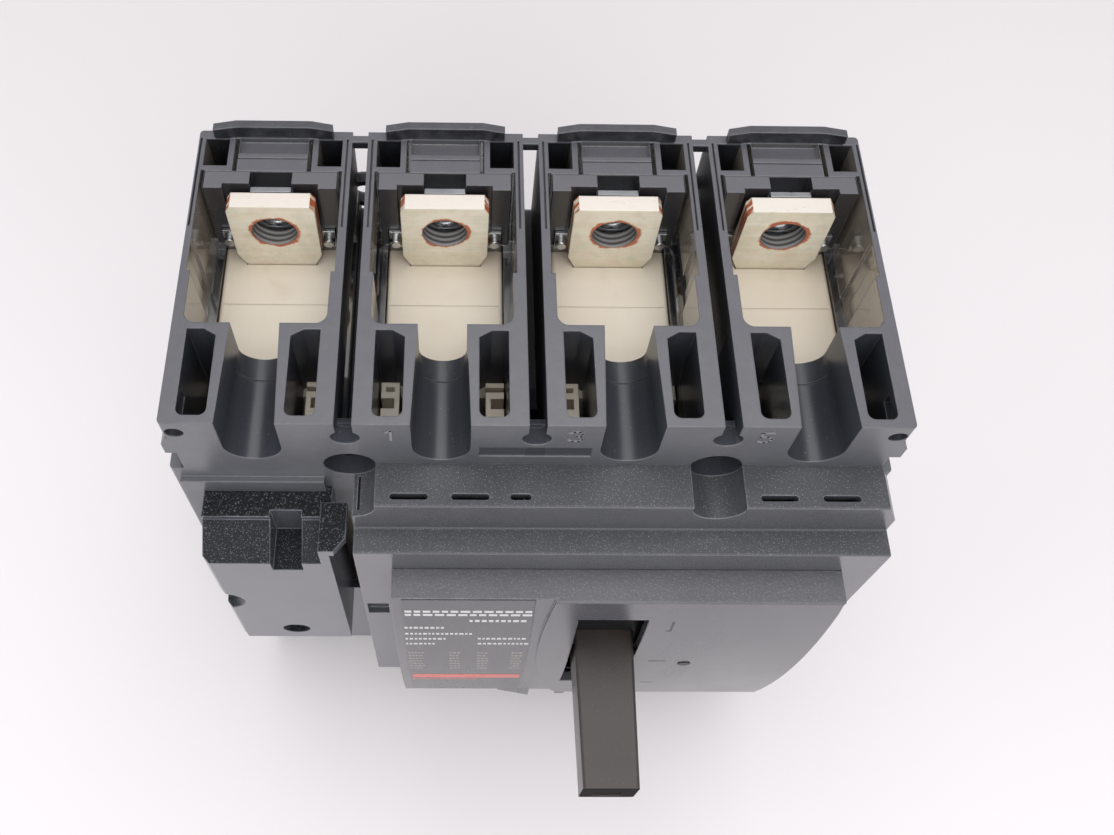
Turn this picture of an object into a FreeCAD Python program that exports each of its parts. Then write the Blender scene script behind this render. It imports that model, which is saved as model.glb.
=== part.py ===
import FreeCAD, Part
import math
import os

# Four-pole molded case circuit breaker, millimetres.
# +X to the right, +Z up towards the line end, -Y out of the front.
# Origin: on the mounting plane, at the centre of the four fixing holes.

# Driving dimensions
POLE_PITCH = 35.0
POLES = {"n": -1.5 * POLE_PITCH, "1": -0.5 * POLE_PITCH, "3": 0.5 * POLE_PITCH, "5": 1.5 * POLE_PITCH}
CASE_HALF_HEIGHT = 80.5
CASE_HALF_WIDTH = 69.8
END_HALF_WIDTH = 67.9
END_ZONE = 60.0
BASE_FRONT = -66.0
LOAD_END_FRONT = -60.5
BACK_WALL = 3.3
FIXING_X = 35.0
FIXING_Z = 62.5
FIXING_HOLE_R = 3.0
WELL_R = 5.0
WELL_SEAT = -12.0
BOSS_R = 6.6
BOSS_BACK_R = 4.6
GAP_HALF = 1.6
GAP_FLOOR = 53.5

# Terminal bays at the two ends
BAY_FLOOR = 58.1
BAY_HALF = 14.2
BAY_HALF_FRONT = 13.4
BAY_BACK = -14.45
BAY_STEP = -33.9
BAY_FRONT = -45.3
TERMINAL_Z = 70.3
GULLY_R_BACK = 4.6
GULLY_R_FRONT = 5.45
CARRIER_FRONT = -14.4
CARRIER_BACK = -10.3
CLIP_LOW, CLIP_HIGH = 60.7, 66.3
PAD_HALF = 8.9
PAD_BACK = -14.5
PAD_FRONT = -18.1
PAD_TOP = 79.0
PAD_BOTTOM = 60.5
NECK_HALF = 7.4
PAD_HOLE_R = 4.6
NUT_BORE_R = 3.4

# Pole cassettes and contacts
CASSETTE_HALF = 12.2
CASSETTE_BACK = -3.5
CASSETTE_FRONT = -49.6
CASSETTE_TOP = 58.0
ROTOR_Y = -26.5
ROTOR_R = 12.0
CAVITY_R = 21.3
BLADE_LENGTH = 20.5
BLADE_REST_TILT = 5.5
ROD_ORBIT = 9.4
ROD_R = 1.58
LUG_SIDES = {"n": (1,), "1": (-1, 1), "3": (-1,), "5": (-1,)}

# Screws that hold the covers to the base, entered from the back
SCREW_PLACES = [(x, z) for x in (0.0, FIXING_X) for z in (-28.0, 28.0)]
SCREW_R = 1.85
SCREW_HEAD_R = 3.8
SCREW_SEAT = -3.2

# Covers
SHELF_1 = 63.2
SHELF_1_FRONT = -74.7
SHELF_2 = 52.0
COVER_FRONT = -80.0
COVER_LEFT = -34.5
COVER_BOTTOM = -38.0
COVER_WALL = 2.4
NEUTRAL_WINDOW_TOP = 38.0
FACE_LEFT = -27.4
FACE_RIGHT = 62.6
FACE_TOP = 43.0
FACE_BOTTOM = -39.5
FACE_EDGE_TOP = -86.8
FACE_EDGE_BOTTOM = -85.6
FACE_CROWN = -88.7
FACE_WALL = 2.2
LABEL_STEP = 0.7

# Toggle mechanism, centred on pole 3
TOGGLE_X = POLES["3"]
PIVOT_Y = -55.2
PIVOT_Z = 8.5
PIVOT_PIN_R = 2.0
RUNNING = 0.05
SLOT_HALF_WIDTH = 7.2
SLOT_BOTTOM = -17.5
SLOT_TOP = 34.0
TOGGLE_TIP = -116.8
YOKE_FRONT = -83.8
TOGGLE_TOP = 15.2
SHIELD_R = 29.0
SHIELD_WALL = 1.2
BUTTON_X = 36.7
BUTTON_Z = 3.2
BUTTON_R = 1.4
PLATE_X = 11.7
PLATE_THICKNESS = 1.6
MECHANISM_PINS = [(PIVOT_Y, PIVOT_Z), (-54.5, -15.0), (-66.0, 31.0), (-68.0, -12.0)]

# Trip unit below the front cover
TRIP_LEFT, TRIP_RIGHT = -27.5, 62.5
TRIP_TOP, TRIP_BOTTOM, TRIP_FRONT = -38.4, -58.5, -76.0
TRIP_FLANGE = -66.8
TRIP_WALL = 2.0
DIALS = {"dial_overload": 4.0, "dial_short_circuit": 31.0}
DIAL_Z = -50.0
DIAL_R = 4.6
DIAL_SHAFT_R = 2.25
TRIP_BAR_Y = -60.0
TRIP_BAR_Z = -47.0
TRIP_BAR_R = 2.0

V = FreeCAD.Vector
ENDS = (1, -1)


def box(x0, x1, y0, y1, z0, z1):
    return Part.makeBox(
        abs(x1 - x0), abs(y1 - y0), abs(z1 - z0), V(min(x0, x1), min(y0, y1), min(z0, z1))
    )


def rounded_box(x0, x1, y0, y1, z0, z1, radius, axis):
    """A box with its four edges along one axis rounded."""
    solid = box(x0, x1, y0, y1, z0, z1)
    return solid.makeFillet(radius, edges_along(solid, axis))


def edges_along(solid, axis):
    directions = {"x": V(1, 0, 0), "y": V(0, 1, 0), "z": V(0, 0, 1)}
    wanted = directions[axis]
    found = []
    for edge in solid.Edges:
        if isinstance(edge.Curve, Part.Line) and abs(abs(edge.Curve.Direction.dot(wanted)) - 1) < 1e-6:
            found.append(edge)
    return found


def rod_x(x0, x1, y, z, r):
    return Part.makeCylinder(r, x1 - x0, V(x0, y, z), V(1, 0, 0))


def rod_y(x, z, y0, y1, r):
    low = min(y0, y1)
    return Part.makeCylinder(r, abs(y1 - y0), V(x, low, z), V(0, 1, 0))


def rod_z(x, y, z0, z1, r):
    low = min(z0, z1)
    return Part.makeCylinder(r, abs(z1 - z0), V(x, y, low), V(0, 0, 1))


def prism_x(points_yz, x0, x1):
    """A polygon in the YZ plane, extruded from x0 to x1."""
    wire = Part.makePolygon([V(x0, y, z) for y, z in points_yz + points_yz[:1]])
    return Part.Face(wire).extrude(V(x1 - x0, 0, 0))


def prism_y(points_xz, y0, y1):
    wire = Part.makePolygon([V(x, y0, z) for x, z in points_xz + points_xz[:1]])
    return Part.Face(wire).extrude(V(0, y1 - y0, 0))


def prism_z(points_xy, z0, z1):
    wire = Part.makePolygon([V(x, y, z0) for x, y in points_xy + points_xy[:1]])
    return Part.Face(wire).extrude(V(0, 0, z1 - z0))


def flip_z(shape):
    return shape.mirror(V(0, 0, 0), V(0, 0, 1))


def at_end(shape, end):
    """Leaves a line-end shape where it is, or mirrors it to the load end."""
    return shape if end > 0 else flip_z(shape)


def turn_x(shape, y, z, degrees):
    copy = shape.copy()
    copy.rotate(V(0, y, z), V(1, 0, 0), degrees)
    return copy


def join(shapes):
    return shapes[0].multiFuse(shapes[1:]).removeSplitter()


def save(name, shapes):
    """Writes one node. Several shapes stay separate solids of the same node."""
    parts = shapes if isinstance(shapes, list) else [shapes]
    solids = []
    for part in parts:
        solids.extend(part.Solids)
    shape = solids[0] if len(solids) == 1 else Part.makeCompound(solids)
    assert all(solid.isValid() for solid in solids), name
    shape.exportStep("parts/" + name + ".step")
    print(name, len(solids), round(sum(solid.Volume for solid in solids)))


# ---------------------------------------------------------------- base case

def gully_cut(px):
    """Half-round, slightly tapered channel that lets a screwdriver reach the terminal screw."""
    back, front = BAY_FRONT + 0.2, BASE_FRONT - 0.2
    trough = Part.makeCone(
        GULLY_R_FRONT, GULLY_R_BACK, back - front, V(px, front, TERMINAL_Z), V(0, 1, 0)
    )
    above = prism_z(
        [(px - GULLY_R_BACK, back), (px + GULLY_R_BACK, back),
         (px + GULLY_R_FRONT, front), (px - GULLY_R_FRONT, front)],
        TERMINAL_Z, CASE_HALF_HEIGHT + 1,
    )
    seam = rod_y(px, TERMINAL_Z, -50.0, -49.75, GULLY_R_BACK + 0.45)
    return [trough, above, seam]


def pier_slot(px, side):
    """Gas vent beside the gully: rounded in front, cut across its inner back corner."""
    outer, inner, front, back = 12.4, 6.9, -64.3, -46.6
    points = [(outer, back), (inner + 2.4, back), (inner, back - 1.4), (inner, front), (outer, front)]
    placed = [(px + side * x, y) for x, y in points]
    slot = prism_z(placed, 56.9, CASE_HALF_HEIGHT + 1)
    corners = [edge for edge in edges_along(slot, "z") if edge.BoundBox.YMax < front + 0.1]
    return slot.makeFillet(1.4, corners)


def bay_cuts(px, end):
    """Everything removed from one pole at the line end of the base."""
    top = CASE_HALF_HEIGHT + 1
    carrier_space = box(px - 13.45, px + 13.45, BAY_BACK - 0.1, CARRIER_BACK + 0.05, 60.5, top)
    rear_recess = box(px - 6.9, px + 6.9, -5.7, -1.85, 79.0, top)
    rear_line = box(px - 8.0, px + 7.1, -7.15, -6.9, 79.7, top)
    cuts = [
        box(px - BAY_HALF, px + BAY_HALF, BAY_STEP, BAY_BACK, BAY_FLOOR, top),
        rounded_box(px - BAY_HALF_FRONT, px + BAY_HALF_FRONT, BAY_FRONT, BAY_BACK, BAY_FLOOR, top, 2.2, "z"),
        carrier_space, rear_recess, rear_line,
    ]
    cuts += gully_cut(px)
    for side in (-1, 1):
        rear_pocket = box(px + side * 9.1, px + side * 13.95, -8.9, -2.05, 62.0, top)
        carrier_relief = box(px + side * 13.5, px + side * BAY_HALF, BAY_BACK - 0.1, -9.9, 62.0, top)
        rear_slit = box(px + side * 7.05, px + side * 7.95, -10.2, -1.9, 75.0, top)
        rim_line = box(px + side * 14.75, px + side * 15.15, -23.6, -1.8, 79.3, top)
        wall_groove = box(px + side * 14.1, px + side * 14.6, -29.5, -25.5, BAY_FLOOR, 79.0)
        cuts += [rear_pocket, carrier_relief, rear_slit, rim_line, wall_groove, pier_slot(px, side)]
    return cuts


def gap_cuts(x):
    """Open slot between two poles, with a bridge at the back and a flared front end."""
    slot = box(x - GAP_HALF, x + GAP_HALF, -62.0, 1.0, GAP_FLOOR, 78.4)
    mouth = box(x - GAP_HALF, x + GAP_HALF, -62.0, -2.6, GAP_FLOOR, CASE_HALF_HEIGHT + 1)
    notch = box(x - GAP_HALF, x + GAP_HALF, -1.0, 1.0, 77.0, CASE_HALF_HEIGHT + 1)
    front = box(x - GAP_HALF, x + GAP_HALF, -67.0, -61.9, 74.6, CASE_HALF_HEIGHT + 1)
    flare = Part.makeCone(2.75, GAP_HALF, 3.0, V(x, BASE_FRONT - 0.01, 74.7), V(0, 1, 0))
    cuts = [mouth, notch, front, flare]
    if abs(x) > 1:
        front_boss = rod_y(x, FIXING_Z, WELL_SEAT, -9.5, BOSS_R)
        back_boss = rod_y(x, FIXING_Z, -9.5, 1.0, BOSS_BACK_R)
        return cuts + [slot.cut([front_boss, back_boss])]
    return cuts + [slot]


def end_lip(px):
    """Raised lip behind each line terminal, with ends that bend forward."""
    plan = [
        (px - 12.1, -0.9), (px - 7.6, 0.0), (px + 7.6, 0.0), (px + 12.1, -0.9),
        (px + 12.1, -2.6), (px + 7.6, -1.8), (px - 7.6, -1.8), (px - 12.1, -2.6),
    ]
    return prism_z(plan, CASE_HALF_HEIGHT - 0.5, CASE_HALF_HEIGHT + 3.4)


def hook(side):
    """Small dovetail hook low on each front corner of the end zone."""
    x = side * (END_HALF_WIDTH + 1.1)
    body = box(side * 66.6, x, BASE_FRONT, -60.0, 67.4, 74.0)
    slant = prism_y([(x, 74.1), (x, 71.4), (x - side * 1.2, 74.1)], -67.0, -59.0)
    notch = box(side * 66.5, side * 67.3, -67.0, -59.0, 67.0, 69.8)
    return body.cut([slant, notch])


def base_case():
    middle = rounded_box(-CASE_HALF_WIDTH, CASE_HALF_WIDTH, BASE_FRONT, 0, -END_ZONE, END_ZONE, 0.8, "z")
    ends = rounded_box(
        -END_HALF_WIDTH, END_HALF_WIDTH, BASE_FRONT, 0, -CASE_HALF_HEIGHT, CASE_HALF_HEIGHT, 0.8, "z"
    )
    lips = [end_lip(px) for px in POLES.values()]
    hooks = [at_end(hook(side), end) for side in (-1, 1) for end in ENDS]
    band = box(-68.3, -40.4, BASE_FRONT - 1.3, BASE_FRONT, 51.7, 56.4)
    body = join([middle, ends, band] + lips + hooks)

    cuts = []
    for end in ENDS:
        for px in POLES.values():
            cuts += [at_end(shape, end) for shape in bay_cuts(px, end)]
        for x in (-FIXING_X, 0.0, FIXING_X):
            cuts += [at_end(shape, end) for shape in gap_cuts(x)]
        for side in (-1, 1):
            cuts.append(rod_y(side * 65.6, end * 76.5, BASE_FRONT - 1, -58.0, 1.75))
            relief = box(side * 66.9, side * 68.5, BASE_FRONT - 1, -40.0, END_ZONE, 67.4)
            cuts.append(at_end(relief, end))
        for x in (-FIXING_X, FIXING_X):
            cuts.append(rod_y(x, end * FIXING_Z, BASE_FRONT - 1, WELL_SEAT, WELL_R))
            cuts.append(rod_y(x, end * FIXING_Z, WELL_SEAT - 1, 1, FIXING_HOLE_R))
    cuts.append(box(-75.0, 75.0, BASE_FRONT - 1, LOAD_END_FRONT, -90.0, -END_ZONE))
    cuts.append(box(-10.5, 10.6, BASE_FRONT - 1, BASE_FRONT + 0.3, 66.7, 70.8))
    for px in POLES.values():
        half = CASSETTE_HALF + 0.2
        cuts.append(box(px - half, px + half, -50.0, -BACK_WALL, -58.1, 58.1))
    cuts.append(box(-66.0, -37.0, BASE_FRONT - 1, -60.0, -57.0, NEUTRAL_WINDOW_TOP))
    cuts.append(box(-66.0, -37.0, -62.0, -49.9, -57.0, 57.0))
    cuts.append(box(-33.0, 66.0, BASE_FRONT - 1, -49.9, -57.0, 57.0))
    cuts.append(rod_x(-64.0, 64.0, ROTOR_Y, 0, ROTOR_R + 0.8))
    for x, z in SCREW_PLACES:
        cuts.append(rod_y(x, z, -67.0, 1.0, SCREW_R + 0.15))
        cuts.append(rod_y(x, z, SCREW_SEAT, 1.0, SCREW_HEAD_R + 0.4))
    return body.cut(cuts)


# ------------------------------------------------------- pole cassettes

def line_bar_space(px):
    return box(px - NECK_HALF - 0.2, px + NECK_HALF + 0.2, -18.3, -14.3, 12.0, 59.0)


def load_bar_space(px):
    """Space around a load terminal bar, which steps forward to the trip unit."""
    profile = [
        (-38.7, -13.8), (-34.7, -13.8), (-34.7, -48.2), (-14.3, -48.2),
        (-14.3, -59.0), (-18.3, -59.0), (-18.3, -52.2), (-38.7, -52.2),
    ]
    return prism_x(profile, px - NECK_HALF - 0.2, px + NECK_HALF + 0.2)


def vent_lug(px, side):
    """Lug under a vent slot, split by two cross notches."""
    x0, x1 = px + side * 8.4, px + side * 12.0
    lug = box(x0, x1, -57.0, CASSETTE_FRONT + 0.5, 48.0, 56.0)
    post = box(x0, x1, -57.0, CASSETTE_FRONT, 55.0, 64.6)
    notches = [
        box(x0 - 1, x1 + 1, -51.6, -50.6, 59.0, 66.0),
        box(px + side * 9.4, px + side * 12.5, -55.2, -53.0, 58.0, 66.0),
    ]
    return lug.fuse(post).cut(notches)


def cassette(px, lug_sides):
    """Moulded pole cassette: rotor chamber, two arc chambers, bar slots and front vent lugs."""
    body = rounded_box(
        px - CASSETTE_HALF, px + CASSETTE_HALF, CASSETTE_FRONT, CASSETTE_BACK,
        -CASSETTE_TOP, CASSETTE_TOP, 1.0, "y",
    )
    lugs = [at_end(vent_lug(px, side), end) for side in lug_sides for end in ENDS]
    body = join([body] + lugs)
    chambers = [
        rod_x(px - 9.5, px + 9.5, ROTOR_Y, 0, CAVITY_R),
        box(px - 9.0, px + 9.0, -46.5, -21.0, 12.0, 50.0),
        box(px - 9.0, px + 9.0, -32.0, -6.5, -46.0, -12.0),
        rod_x(px - 13.0, px + 13.0, ROTOR_Y, 0, ROTOR_R + 0.5),
        line_bar_space(px),
        load_bar_space(px),
        box(px - 11.5, px + 11.5, -28.35, -28.1, 57.85, 59.0),
    ]
    return body.cut(chambers)


def rotor(px):
    """Insulating rotor that carries the moving contact bar and the two link rods."""
    drum = rod_x(px - 9.2, px + 9.2, ROTOR_Y, 0, ROTOR_R)
    slot = box(px - 2.7, px + 2.7, ROTOR_Y - 2.2, ROTOR_Y + 2.2, -ROTOR_R - 1, ROTOR_R + 1)
    holes = [
        rod_x(px - 10, px + 10, ROTOR_Y + side * ROD_ORBIT, 0, ROD_R + 0.02) for side in (-1, 1)
    ]
    return turn_x(drum.cut([slot] + holes), ROTOR_Y, 0, BLADE_REST_TILT)


def moving_contact(px):
    bar = rounded_box(
        px - 2.5, px + 2.5, ROTOR_Y - 2.0, ROTOR_Y + 2.0, -BLADE_LENGTH, BLADE_LENGTH, 1.2, "x"
    )
    return turn_x(bar, ROTOR_Y, 0, BLADE_REST_TILT)


def link_rods():
    rods = []
    for side in (-1, 1):
        rod = rod_x(-63.5, 63.5, ROTOR_Y + side * ROD_ORBIT, 0, ROD_R)
        rods.append(turn_x(rod, ROTOR_Y, 0, BLADE_REST_TILT))
    return rods


def arc_plates(px):
    """Steel splitter plates, a stack above the upper contact and one below the lower contact."""
    plates = []
    for i in range(6):
        z = 23.0 + 4.2 * i
        plate = box(px - 8.6, px + 8.6, -46.2, -22.5, z, z + 1.0)
        notch = prism_z([(px - 3.5, -22.0), (px + 3.5, -22.0), (px, -32.0)], z - 1, z + 2)
        plates.append(plate.cut(notch))
        plates.append(turn_x(plate.cut(notch), ROTOR_Y, 0, 180))
    return [plate for plate in plates if plate.BoundBox.ZMin > -45.9]


def contact_tips(px):
    upper = box(px - 3.0, px + 3.0, -19.5, PAD_FRONT, 14.8, 19.4)
    return [upper, turn_x(upper, ROTOR_Y, 0, 180)]


# ---------------------------------------------------------- terminals

def terminal_pad(px):
    """Wide end of a terminal bar, with a screw hole and cut corners."""
    top, low, half = PAD_TOP, PAD_BOTTOM - 2.3, PAD_HALF
    outline = [
        (px - half + 0.9, top), (px + half - 0.9, top), (px + half, top - 1.6), (px + half, low + 3.6),
        (px + half - 1.5, low), (px - half + 1.5, low), (px - half, low + 3.6), (px - half, top - 1.6),
    ]
    pad = prism_y(outline, PAD_FRONT, PAD_BACK)
    return pad.cut(rod_y(px, TERMINAL_Z, PAD_FRONT - 1, PAD_BACK + 1, PAD_HOLE_R))


def line_terminal(px):
    neck = box(px - NECK_HALF, px + NECK_HALF, PAD_FRONT, PAD_BACK, 14.0, PAD_BOTTOM)
    return join([terminal_pad(px), neck])


def load_terminal(px):
    """Flat terminal plate, and the trip unit bar that is brazed to its front."""
    neck = box(px - NECK_HALF, px + NECK_HALF, PAD_FRONT, PAD_BACK, -PAD_BOTTOM, -48.4)
    plate = join([flip_z(terminal_pad(px)), neck])
    profile = [
        (-38.5, -14.0), (-34.9, -14.0), (-34.9, -48.4),
        (PAD_FRONT, -48.4), (PAD_FRONT, -52.0), (-38.5, -52.0),
    ]
    bar = prism_x(profile, px - NECK_HALF, px + NECK_HALF)
    return [plate, bar]


def nut_carrier(px):
    """Insulating block that holds the captive nut behind the pad."""
    top, front, step = CASE_HALF_HEIGHT, CARRIER_FRONT - 0.1, -13.25
    block = box(px - 13.3, px + 13.3, CARRIER_FRONT, CARRIER_BACK, 60.6, top - 0.05)
    nut_pocket = box(px - 4.25, px + 4.25, front, -10.4, 62.2, top + 1)
    pad_recess = box(px - 9.6, px + 9.6, front, step, 60.0, top + 1)
    clip_recess = box(px - 12.0, px + 12.0, front, step, 60.0, CLIP_HIGH + 0.2)
    screw_hole = rod_y(px, TERMINAL_Z, front, CARRIER_BACK + 0.3, 5.2)
    return block.cut([nut_pocket, pad_recess, clip_recess, screw_hole])


def captive_nut(px):
    """Steel nut with a taller front plate and three thread grooves."""
    half, plate_back, groove, groove_pitch = 4.1, -13.2, 0.6, 1.2
    body = box(px - half, px + half, plate_back, -10.5, 62.5, 75.4)
    plate = box(px - half, px + half, CARRIER_FRONT, plate_back, CLIP_HIGH + 0.2, 79.2)
    cuts = [rod_y(px, TERMINAL_Z, -15, -10, NUT_BORE_R)]
    for i in range(3):
        start = CARRIER_FRONT + 0.3 + groove_pitch * i
        cuts.append(rod_y(px, TERMINAL_Z, start, start + groove, NUT_BORE_R + 0.4))
    return join([body, plate]).cut(cuts)


def clamp_clip(px):
    """Zinc spring clip between the carrier and the pad."""
    outer, inner = 11.8, 9.1
    plate = box(px - outer, px + outer, CARRIER_FRONT, -13.3, CLIP_LOW, CLIP_HIGH)
    wings = [
        box(px + side * inner, px + side * outer, -15.2, CARRIER_FRONT + 0.1, CLIP_LOW, CLIP_HIGH)
        for side in (-1, 1)
    ]
    return join([plate] + wings).cut(rod_y(px, TERMINAL_Z, -15, -13, PAD_HOLE_R + 0.3))


def clamp_pins(px):
    pins = []
    for side in (-1, 1):
        head = rod_y(px + side * 10.45, 63.4, -16.6, -15.2, 1.3)
        rim = [edge for edge in head.Edges if edge.BoundBox.YMax < -16.5]
        pins.append(head.makeFillet(0.4, rim))
    return pins


# ------------------------------------------------------------- covers

def stepped_profile(inset):
    i = inset
    return [
        (BASE_FRONT, COVER_BOTTOM + i), (BASE_FRONT, SHELF_1 - i), (SHELF_1_FRONT + i, SHELF_1 - i),
        (SHELF_1_FRONT + i, SHELF_2 - i), (COVER_FRONT + i, SHELF_2 - i), (COVER_FRONT + i, COVER_BOTTOM + i),
    ]


def vent_slot(x0, x1):
    y, r = -72.7, 0.6
    middle = box(x0 + r, x1 - r, y - r, y + r, SHELF_1 - 4, SHELF_1 + 1)
    ends = [rod_z(x, y, SHELF_1 - 4, SHELF_1 + 1, r) for x in (x0 + r, x1 - r)]
    return join([middle] + ends)


def middle_cover():
    right = CASE_HALF_WIDTH - 0.1
    outer = prism_x(stepped_profile(0), COVER_LEFT, right)
    long_edges = [edge for edge in edges_along(outer, "x") if edge.BoundBox.YMax < BASE_FRONT - 1]
    outer = outer.makeFillet(0.4, long_edges)
    inner_profile = stepped_profile(COVER_WALL)
    inner_profile[0] = (BASE_FRONT + 1, COVER_BOTTOM + COVER_WALL)
    inner_profile[1] = (BASE_FRONT + 1, SHELF_1 - COVER_WALL)
    inner = prism_x(inner_profile, COVER_LEFT + COVER_WALL, right - COVER_WALL)
    bosses = [rod_y(x, z, -78.5, BASE_FRONT, 4.0) for x, z in SCREW_PLACES]
    sleeves = [
        rod_y(x, FIXING_Z, -76.0, BASE_FRONT, WELL_R + 1.6).common(outer) for x in (-FIXING_X, FIXING_X)
    ]
    shell = outer.cut(inner).fuse(bosses + sleeves)
    cuts = [
        rod_y(FIXING_X, FIXING_Z, -76.0, -65.0, WELL_R),
        rod_y(-FIXING_X, FIXING_Z, -76.0, -65.0, WELL_R),
        box(TOGGLE_X - 11.5, TOGGLE_X + 11.5, -81.0, -77.0, PIVOT_Z - 24.5, PIVOT_Z + 24.5),
        prism_y([(67.0, 63.4), (70.5, 63.4), (70.5, 55.5)], -81.0, -65.0),
        box(-33.8, -29.2, -81.0, -78.6, 11.7, 18.9),
        box(-33.6, -33.1, -73.4, -66.5, 55.0, 60.0),
        rod_y(BUTTON_X, BUTTON_Z, -81.0, -77.0, BUTTON_R + 0.3),
    ]
    cuts += [rod_y(x, z, -75.0, -65.0, SCREW_R + 0.05) for x, z in SCREW_PLACES]
    vents = ((-27.2, -20.0), (-15.6, -8.4), (-4.5, -0.5), (42.8, 49.9), (54.6, 61.8))
    cuts += [vent_slot(x0, x1) for x0, x1 in vents]
    return shell.cut(cuts).removeSplitter()


def neutral_cover():
    """Separate raised cover over the neutral pole."""
    left, right, bottom, rear_top, step = -64.5, -39.2, -8.0, 51.65, -72.6
    main = prism_x(
        [(BASE_FRONT, bottom), (BASE_FRONT, 50.2), (step, 50.2), (COVER_FRONT, 45.5), (COVER_FRONT, bottom)],
        left, right,
    )
    rear = box(left, right, step, BASE_FRONT, bottom, rear_top)
    bevel = prism_z([(left - 0.1, -78.6), (left - 0.1, -80.1), (left + 1.3, -80.1)], bottom - 1, rear_top)
    tab_root = box(-41.2, right, COVER_FRONT, -70.0, 42.0, 52.8)
    tab_plan = [(-41.2, -70.0), (-36.0, -70.0), (-36.0, -77.2), (-38.3, COVER_FRONT), (-41.2, COVER_FRONT)]
    tab = prism_z(tab_plan, 50.4, 52.8)
    shell = join([main.cut(bevel), rear, tab_root, tab])
    inner = box(left + 2.0, right - 2.0, COVER_FRONT + 2.2, BASE_FRONT + 1, bottom + 2.0, 38.5)
    cuts = [
        inner,
        box(-51.2, -45.0, -81.0, -71.2, 41.5, rear_top + 1),
        rod_y(-51.3, -1.2, -81.0, -76.0, 3.1),
        Part.makeCone(5.2, 3.2, 4.5, V(left - 0.6, COVER_FRONT - 0.01, 20.3), V(0, 1, 0)),
    ]
    return shell.cut(cuts)


def neutral_lower_cover():
    plate = box(-69.6, -36.8, -68.0, BASE_FRONT, -50.0, -9.0)
    foot = box(-69.6, -36.8, -66.8, BASE_FRONT, -57.0, -49.0)
    ribs = [box(-64.0, -44.0, -68.8, -67.9, z, z + 1.4) for z in (-40.0, -32.0, -24.0, -16.0)]
    return join([plate, foot] + ribs)


def face_arc(inset):
    """Front cover side profile: a shallow arc between its top and bottom edges."""
    middle = (FACE_TOP + FACE_BOTTOM) / 2
    top = V(FACE_LEFT, FACE_EDGE_TOP + inset, FACE_TOP)
    crown = V(FACE_LEFT, FACE_CROWN + inset, middle)
    bottom = V(FACE_LEFT, FACE_EDGE_BOTTOM + inset, FACE_BOTTOM)
    return Part.Arc(top, crown, bottom).toShape(), top, bottom


def arc_slab(inset, y_back):
    arc, top, bottom = face_arc(inset)
    back_top = V(FACE_LEFT, y_back, FACE_TOP)
    back_bottom = V(FACE_LEFT, y_back, FACE_BOTTOM)
    sides = [
        Part.LineSegment(bottom, back_bottom).toShape(),
        Part.LineSegment(back_bottom, back_top).toShape(),
        Part.LineSegment(back_top, top).toShape(),
    ]
    return Part.Face(Part.Wire([arc] + sides)).extrude(V(FACE_RIGHT - FACE_LEFT, 0, 0))


def front_cover():
    """Bulged front plate with a raised panel around the toggle and a label area on its left."""
    outer = arc_slab(0, COVER_FRONT - 0.05)
    rim = [edge for edge in outer.Edges if edge.BoundBox.YMax < COVER_FRONT - 1]
    outer = outer.makeFillet(0.5, rim)
    hollow = arc_slab(FACE_WALL, COVER_FRONT + 1).common(
        box(FACE_LEFT + 2.0, FACE_RIGHT - 2.0, -90, -79, FACE_BOTTOM + 2.0, FACE_TOP - 2.0)
    )
    panel_r, panel_left, middle = 190.0, 3.1, 14.0
    band = box(FACE_LEFT - 1, 12.0, -95, -80, FACE_BOTTOM - 1, FACE_TOP + 1).cut(arc_slab(LABEL_STEP, -79.0))
    label_area = band.cut(rod_y(panel_left + panel_r, middle, -96, -79, panel_r))
    cuts = [
        hollow,
        label_area,
        box(TOGGLE_X - SLOT_HALF_WIDTH, TOGGLE_X + SLOT_HALF_WIDTH, -95, -79, SLOT_BOTTOM, SLOT_TOP),
        rod_y(BUTTON_X, BUTTON_Z, -95, -79, BUTTON_R + 0.08),
    ]
    latch_plan = [(-4.0, FACE_BOTTOM + 1), (4.2, FACE_BOTTOM + 1), (4.2, -46.0), (-4.0, FACE_BOTTOM - 0.4)]
    latch = prism_y(latch_plan, -85.0, -82.5)
    tab = box(11.0, 13.4, -85.0, -82.5, -44.0, FACE_BOTTOM + 1)
    return outer.cut(cuts).fuse([latch, tab])


def rating_plate():
    """Thin plate in the label area, following the arc of the face."""
    skin = arc_slab(LABEL_STEP - 0.22, -80.0).cut(arc_slab(LABEL_STEP, -79.0))
    return skin.common(box(-25.4, 1.2, -95, -80, -36.0, 42.6))


# ---------------------------------------------------------- mechanism

def toggle():
    """Tapered handle, straight out in the tripped position."""
    root, tip = YOKE_FRONT, TOGGLE_TIP
    root_half, tip_half = 6.45, 5.85
    low_root, low_tip = 2.9, 3.6
    side_view = prism_x(
        [(root, TOGGLE_TOP), (tip, TOGGLE_TOP), (tip, low_tip), (root, low_root)],
        TOGGLE_X - 10, TOGGLE_X + 10,
    )
    top_view = prism_z(
        [(TOGGLE_X - root_half, root), (TOGGLE_X + root_half, root),
         (TOGGLE_X + tip_half, tip), (TOGGLE_X - tip_half, tip)],
        0, 20,
    )
    body = side_view.common(top_view)
    long_edges = [edge for edge in body.Edges if edge.BoundBox.YLength > 20]
    body = body.makeFillet(0.7, long_edges)
    recess = box(TOGGLE_X - 3.2, TOGGLE_X + 3.2, tip - 1, tip + 2.0, low_tip + 1.2, low_tip + 4.4)
    bar = box(TOGGLE_X - 0.6, TOGGLE_X + 0.6, tip + 0.2, tip + 2.1, low_tip + 1.1, low_tip + 4.5)
    tongue_slot = box(TOGGLE_X - 2.6, TOGGLE_X + 2.6, root - 8.0, root + 1, 7.0, 10.0)
    return body.cut([recess, tongue_slot]).fuse(bar)


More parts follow.
